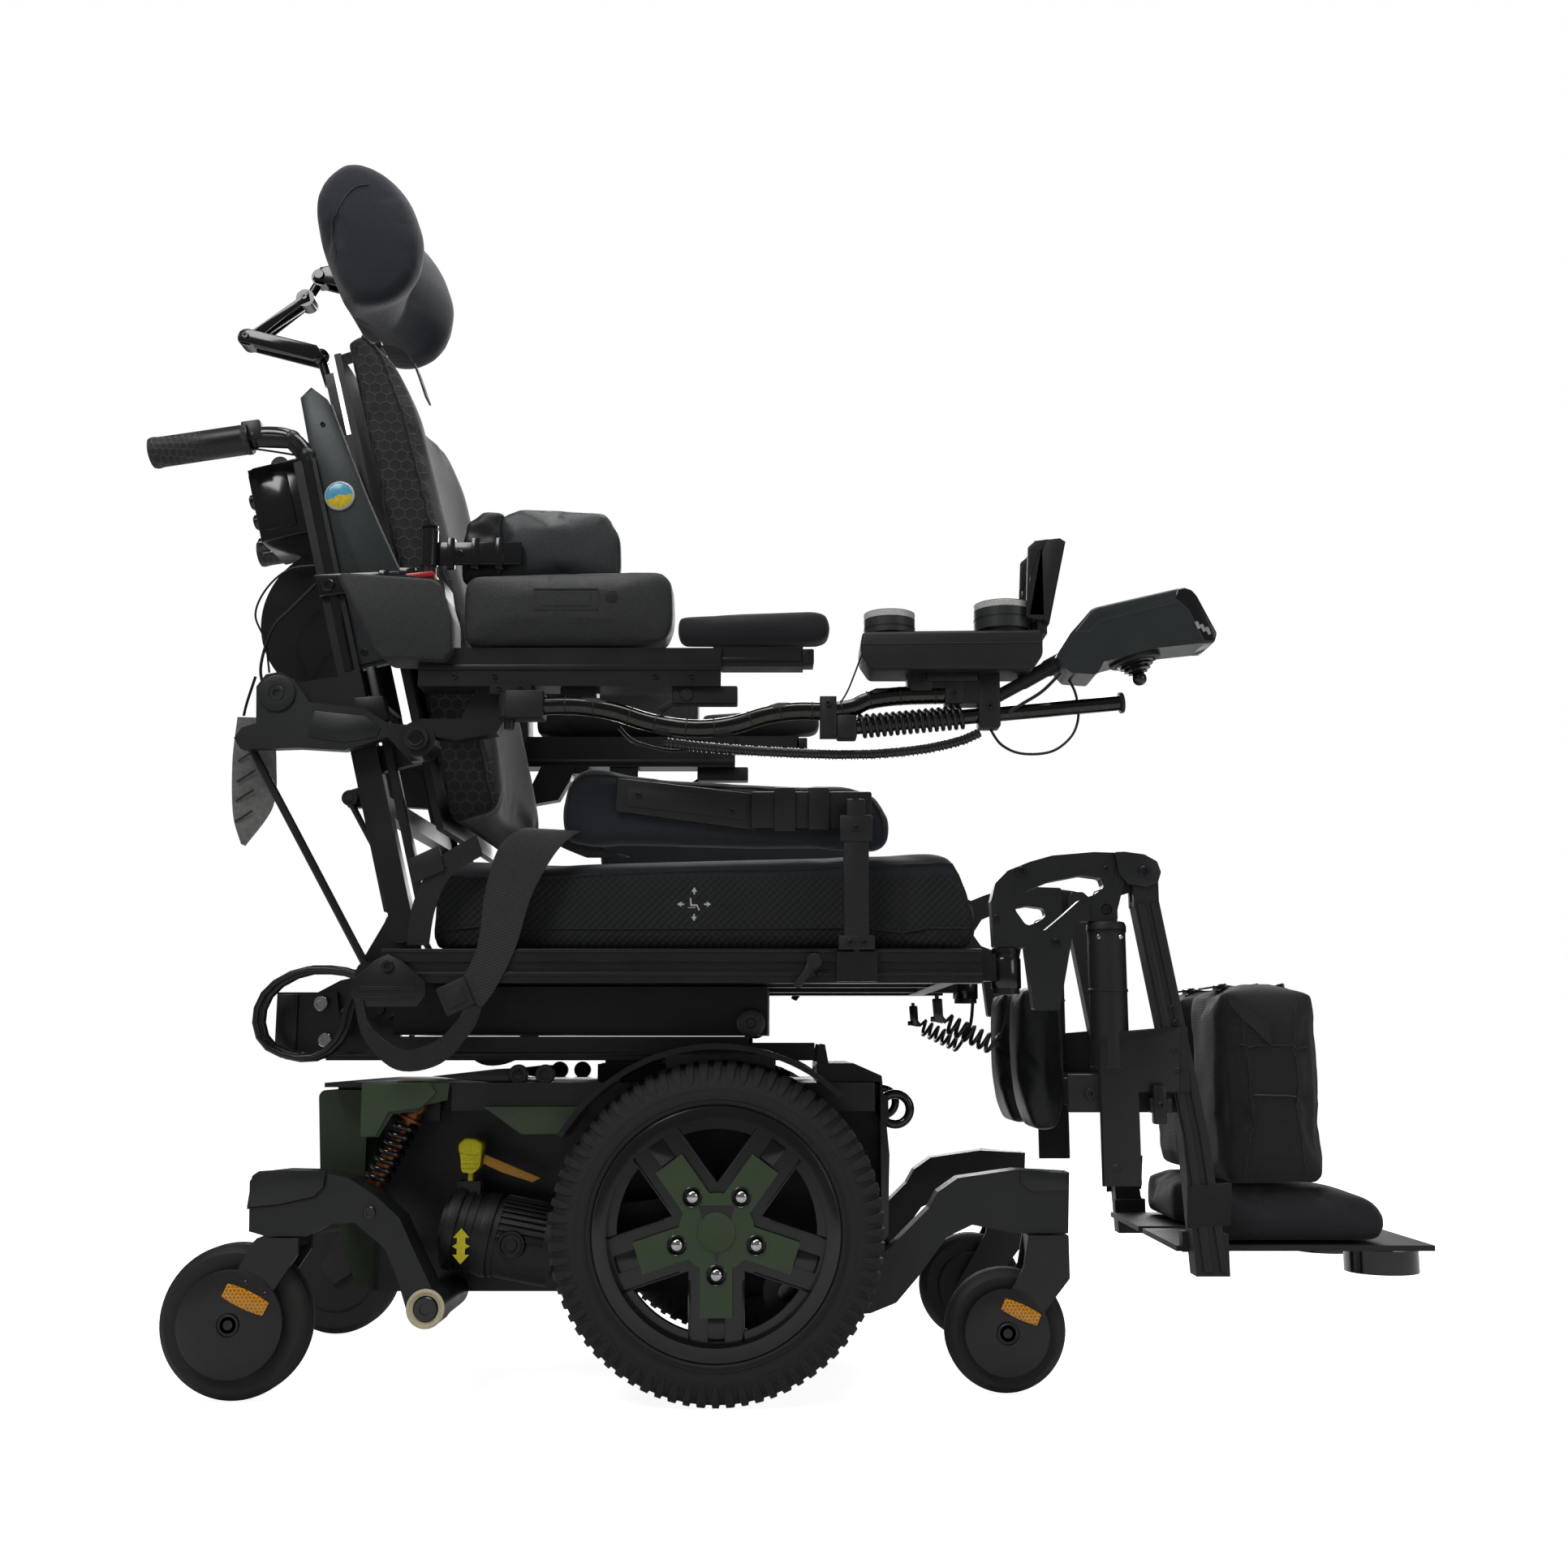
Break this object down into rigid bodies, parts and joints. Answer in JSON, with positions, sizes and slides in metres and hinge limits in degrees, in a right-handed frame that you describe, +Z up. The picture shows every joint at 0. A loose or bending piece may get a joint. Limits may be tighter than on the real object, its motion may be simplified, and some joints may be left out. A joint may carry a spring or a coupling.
{
  "type": "power wheelchair",
  "caption": "Mid-wheel-drive power wheelchair with lift, tilt and recline seat, swing-away powered leg rests, headrest, side supports and an arm-mounted hand control.",
  "frame": {"origin": "on the floor under the middle of the chair", "axes": "+X forward, +Y to the user's left, +Z up"},
  "size_m": [1.4674, 0.602, 1.4936],
  "materials": {
    "base_frame": "satin black powder coat",
    "battery_plastic": "matte",
    "battery_case": "matte",
    "shroud": "satin olive green",
    "motor": "satin black casting",
    "trim": "satin black",
    "spring_steel": "gloss black spring",
    "lever_yellow": "satin yellow",
    "tyre": "matte rubber",
    "rim": "satin black with a green cap and bright nuts",
    "arm_casting": "satin black",
    "fork": "satin black",
    "caster": "matte with a plastic centre",
    "column": "satin anodised",
    "platform": "satin black",
    "seat_metal": "satin black",
    "seat_fabric": "dark knit top with mesh sides",
    "webbing": "woven webbing",
    "back_metal": "satin black",
    "back_fabric": "dark mesh",
    "link_metal": "satin black casting",
    "rod_metal": "satin black",
    "armrest_metal": "satin black extrusion",
    "armrest_skin": "moulded soft black",
    "leg_metal": "satin black casting",
    "leg_pad": "black woven fabric",
    "headrest_fabric": "navy grey knit",
    "lateral_skin": "black leatherette",
    "thigh_fabric": "dark knit",
    "control_metal": "black plastic and steel tube",
    "control_plastic": "dark grey plastic",
    "stick": "gloss black",
    "button": "dark grey with a pale rim",
    "cable": "black cable sheath"
  },
  "bodies": {
    "chassis": {"chassis_frame": "base_frame", "battery_box": "battery_plastic", "batteries": "battery_case", "side_panels": "shroud", "drive_motors": "motor", "body_trim": "trim", "rear_shock_right": "spring_steel", "rear_shock_left": "spring_steel"},
    "platform": {"lift_platform": "platform"},
    "lift_middle": {"lift_middle_column": "column"},
    "carriage": {"tilt_carriage": "platform"},
    "seat": {"seat_frame": "seat_metal", "seat_cushion": "seat_fabric", "seat_belt": "webbing", "seat_cables": "cable"},
    "back": {"back_frame": "back_metal", "back_cushion": "back_fabric"},
    "links": {"arm_links": "link_metal"},
    "rods": {"level_rods": "rod_metal"},
    "armrest_right": {"armrest_frame_right": "armrest_metal", "armrest_pad_right": "armrest_skin"},
    "armrest_left": {"armrest_frame_left": "armrest_metal", "armrest_pad_left": "armrest_skin"},
    "leg_right": {"leg_hanger_right": "leg_metal"},
    "shin_right": {"leg_frame_right": "leg_metal", "leg_padding_right": "leg_pad"},
    "leg_left": {"leg_hanger_left": "leg_metal"},
    "shin_left": {"leg_frame_left": "leg_metal", "leg_padding_left": "leg_pad"},
    "controls": {"control_arm": "control_metal", "joystick_body": "control_plastic", "control_cables": "cable"},
    "gimbal": {"joystick_gimbal": "stick"},
    "stick": {"joystick_stick": "stick"},
    "button_rear": {"switch_button_rear": "button"},
    "button_front": {"switch_button_front": "button"},
    "headrest_arm": {"headrest_stem": "rod_metal"},
    "headrest": {"headrest_pad": "headrest_fabric"},
    "lateral_right": {"lateral_pad_right": "lateral_skin"},
    "lateral_left": {"lateral_pad_left": "lateral_skin"},
    "thigh_right": {"thigh_pad_right": "thigh_fabric"},
    "thigh_left": {"thigh_pad_left": "thigh_fabric"},
    "drive_wheel_right": {"drive_tyre_right": "tyre", "drive_rim_right": "rim"},
    "drive_wheel_left": {"drive_tyre_left": "tyre", "drive_rim_left": "rim"},
    "freewheel_right": {"freewheel_lever_right": "lever_yellow"},
    "freewheel_left": {"freewheel_lever_left": "lever_yellow"},
    "rear_swing_right": {"rear_arm_right": "arm_casting"},
    "front_swing_right": {"front_arm_right": "arm_casting"},
    "rear_swing_left": {"rear_arm_left": "arm_casting"},
    "front_swing_left": {"front_arm_left": "arm_casting"},
    "caster_rear_right": {"caster_fork_rear_right": "fork"},
    "caster_roller_rear_right": {"caster_wheel_rear_right": "caster"},
    "caster_front_right": {"caster_fork_front_right": "fork"},
    "caster_roller_front_right": {"caster_wheel_front_right": "caster"},
    "caster_rear_left": {"caster_fork_rear_left": "fork"},
    "caster_roller_rear_left": {"caster_wheel_rear_left": "caster"},
    "caster_front_left": {"caster_fork_front_left": "fork"},
    "caster_roller_front_left": {"caster_wheel_front_left": "caster"}
  },
  "joints": [
    {"name": "seat_lift", "type": "slide", "parent": "chassis", "child": "platform", "axis": [0, 0, 1], "range_m": [0, 0.3]},
    {"name": "lift_middle_slide", "type": "slide", "parent": "chassis", "child": "lift_middle", "axis": [0, 0, 1], "range_m": [0, 0.15]},
    {"name": "seat_tilt", "type": "hinge", "parent": "carriage", "child": "seat", "pos_m": [-0.519, 0, 0.419], "axis": [0, -1, 0], "range_deg": [0, 45]},
    {"name": "tilt_slide", "type": "slide", "parent": "platform", "child": "carriage", "axis": [1, 0, 0], "range_m": [0, 0.2]},
    {"name": "back_recline", "type": "hinge", "parent": "seat", "child": "back", "pos_m": [-0.417, 0, 0.503], "axis": [0, -1, 0], "range_deg": [0, 35]},
    {"name": "arm_link_level", "type": "hinge", "parent": "back", "child": "links", "pos_m": [-0.56, 0, 0.762], "axis": [0, -1, 0], "range_deg": [-35, 0]},
    {"name": "level_rod_turn", "type": "hinge", "parent": "seat", "child": "rods", "pos_m": [-0.451, 0, 0.452], "axis": [0, -1, 0], "range_deg": [0, 35]},
    {"name": "armrest_flip_right", "type": "hinge", "parent": "links", "child": "armrest_right", "pos_m": [-0.395, -0.24, 0.705], "axis": [0, -1, 0], "range_deg": [0, 100]},
    {"name": "armrest_flip_left", "type": "hinge", "parent": "links", "child": "armrest_left", "pos_m": [-0.395, 0.24, 0.705], "axis": [0, -1, 0], "range_deg": [0, 100]},
    {"name": "leg_swing_right", "type": "hinge", "parent": "seat", "child": "leg_right", "pos_m": [0.255, -0.2, 0.455], "axis": [0, 0, -1], "range_deg": [0, 90]},
    {"name": "leg_elevation_right", "type": "hinge", "parent": "leg_right", "child": "shin_right", "pos_m": [0.409, -0.2, 0.562], "axis": [0, -1, 0], "range_deg": [0, 70]},
    {"name": "leg_swing_left", "type": "hinge", "parent": "seat", "child": "leg_left", "pos_m": [0.255, 0.2, 0.455], "axis": [0, 0, 1], "range_deg": [0, 90]},
    {"name": "leg_elevation_left", "type": "hinge", "parent": "leg_left", "child": "shin_left", "pos_m": [0.409, 0.2, 0.562], "axis": [0, -1, 0], "range_deg": [0, 70]},
    {"name": "control_swing", "type": "hinge", "parent": "armrest_right", "child": "controls", "pos_m": [-0.29, -0.276, 0.735], "axis": [0, 0, -1], "range_deg": [0, 90]},
    {"name": "joystick_pitch", "type": "hinge", "parent": "controls", "child": "gimbal", "pos_m": [0.392, -0.276, 0.796], "axis": [0, 1, 0], "range_deg": [-15, 15], "stiffness_Nm_per_rad": 0.3},
    {"name": "joystick_roll", "type": "hinge", "parent": "gimbal", "child": "stick", "pos_m": [0.392, -0.276, 0.796], "axis": [0.9763, 0, 0.2164], "range_deg": [-15, 15], "stiffness_Nm_per_rad": 0.3},
    {"name": "switch_press_rear", "type": "slide", "parent": "controls", "child": "button_rear", "axis": [0, 0, -1], "range_m": [0, 0.002], "stiffness_N_per_m": 900, "springref_m": -0.003},
    {"name": "switch_press_front", "type": "slide", "parent": "controls", "child": "button_front", "axis": [0, 0, -1], "range_m": [0, 0.002], "stiffness_N_per_m": 900, "springref_m": -0.003},
    {"name": "headrest_height", "type": "slide", "parent": "back", "child": "headrest_arm", "axis": [-0.2419, 0, 0.9703], "range_m": [0, 0.06]},
    {"name": "headrest_tilt", "type": "hinge", "parent": "headrest_arm", "child": "headrest", "pos_m": [-0.604, 0, 1.375], "axis": [0, 1, 0], "range_deg": [-12, 12]},
    {"name": "lateral_swing_right", "type": "hinge", "parent": "back", "child": "lateral_right", "pos_m": [-0.4, -0.209, 0.935], "axis": [0, 0, 1], "range_deg": [-90, 0]},
    {"name": "lateral_swing_left", "type": "hinge", "parent": "back", "child": "lateral_left", "pos_m": [-0.4, 0.209, 0.935], "axis": [0, 0, -1], "range_deg": [-90, 0]},
    {"name": "thigh_swing_right", "type": "hinge", "parent": "seat", "child": "thigh_right", "pos_m": [0.088, -0.241, 0.456], "axis": [0, 0, -1], "range_deg": [0, 30]},
    {"name": "thigh_swing_left", "type": "hinge", "parent": "seat", "child": "thigh_left", "pos_m": [0.088, 0.241, 0.456], "axis": [0, 0, 1], "range_deg": [0, 30]},
    {"name": "drive_roll_right", "type": "hinge", "parent": "chassis", "child": "drive_wheel_right", "pos_m": [-0.062, -0.222, 0.178], "axis": [0, 1, 0], "continuous": true},
    {"name": "drive_roll_left", "type": "hinge", "parent": "chassis", "child": "drive_wheel_left", "pos_m": [-0.062, 0.222, 0.178], "axis": [0, 1, 0], "continuous": true},
    {"name": "freewheel_release_right", "type": "hinge", "parent": "chassis", "child": "freewheel_right", "pos_m": [-0.343, -0.138, 0.212], "axis": [0, 1, 0], "range_deg": [0, 35]},
    {"name": "freewheel_release_left", "type": "hinge", "parent": "chassis", "child": "freewheel_left", "pos_m": [-0.343, 0.138, 0.212], "axis": [0, 1, 0], "range_deg": [0, 35]},
    {"name": "rear_suspension_right", "type": "hinge", "parent": "chassis", "child": "rear_swing_right", "pos_m": [-0.37, -0.2, 0.097], "axis": [0, 1, 0], "range_deg": [0, 8], "stiffness_Nm_per_rad": 900, "springref_deg": -20.05, "deforming": ["rear_shock_right"]},
    {"name": "front_suspension_right", "type": "hinge", "parent": "chassis", "child": "front_swing_right", "pos_m": [0.013, -0.164, 0.108], "axis": [0, -1, 0], "range_deg": [0, 8], "stiffness_Nm_per_rad": 900, "springref_deg": -20.05},
    {"name": "rear_suspension_left", "type": "hinge", "parent": "chassis", "child": "rear_swing_left", "pos_m": [-0.37, 0.2, 0.097], "axis": [0, 1, 0], "range_deg": [0, 8], "stiffness_Nm_per_rad": 900, "springref_deg": -20.05, "deforming": ["rear_shock_left"]},
    {"name": "front_suspension_left", "type": "hinge", "parent": "chassis", "child": "front_swing_left", "pos_m": [0.013, 0.164, 0.108], "axis": [0, -1, 0], "range_deg": [0, 8], "stiffness_Nm_per_rad": 900, "springref_deg": -20.05},
    {"name": "caster_swivel_rear_right", "type": "hinge", "parent": "rear_swing_right", "child": "caster_rear_right", "pos_m": [-0.532, -0.2, 0.19], "axis": [0, 0, 1], "continuous": true},
    {"name": "caster_roll_rear_right", "type": "hinge", "parent": "caster_rear_right", "child": "caster_roller_rear_right", "pos_m": [-0.577, -0.2, 0.081], "axis": [0, 1, 0], "continuous": true},
    {"name": "caster_swivel_front_right", "type": "hinge", "parent": "front_swing_right", "child": "caster_front_right", "pos_m": [0.295, -0.164, 0.19], "axis": [0, 0, 1], "continuous": true},
    {"name": "caster_roll_front_right", "type": "hinge", "parent": "caster_front_right", "child": "caster_roller_front_right", "pos_m": [0.25, -0.164, 0.066], "axis": [0, 1, 0], "continuous": true},
    {"name": "caster_swivel_rear_left", "type": "hinge", "parent": "rear_swing_left", "child": "caster_rear_left", "pos_m": [-0.532, 0.2, 0.19], "axis": [0, 0, 1], "continuous": true},
    {"name": "caster_roll_rear_left", "type": "hinge", "parent": "caster_rear_left", "child": "caster_roller_rear_left", "pos_m": [-0.577, 0.2, 0.081], "axis": [0, 1, 0], "continuous": true},
    {"name": "caster_swivel_front_left", "type": "hinge", "parent": "front_swing_left", "child": "caster_front_left", "pos_m": [0.295, 0.164, 0.19], "axis": [0, 0, 1], "continuous": true},
    {"name": "caster_roll_front_left", "type": "hinge", "parent": "caster_front_left", "child": "caster_roller_front_left", "pos_m": [0.25, 0.164, 0.066], "axis": [0, 1, 0], "continuous": true}
  ],
  "couplings": [
    {"joint": "lift_middle_slide", "follows": "seat_lift", "ratio": 0.5},
    {"joint": "tilt_slide", "follows": "seat_tilt", "m_per_rad": 0.25452},
    {"joint": "arm_link_level", "follows": "back_recline", "ratio": -1},
    {"joint": "level_rod_turn", "follows": "back_recline", "ratio": 1}
  ]
}
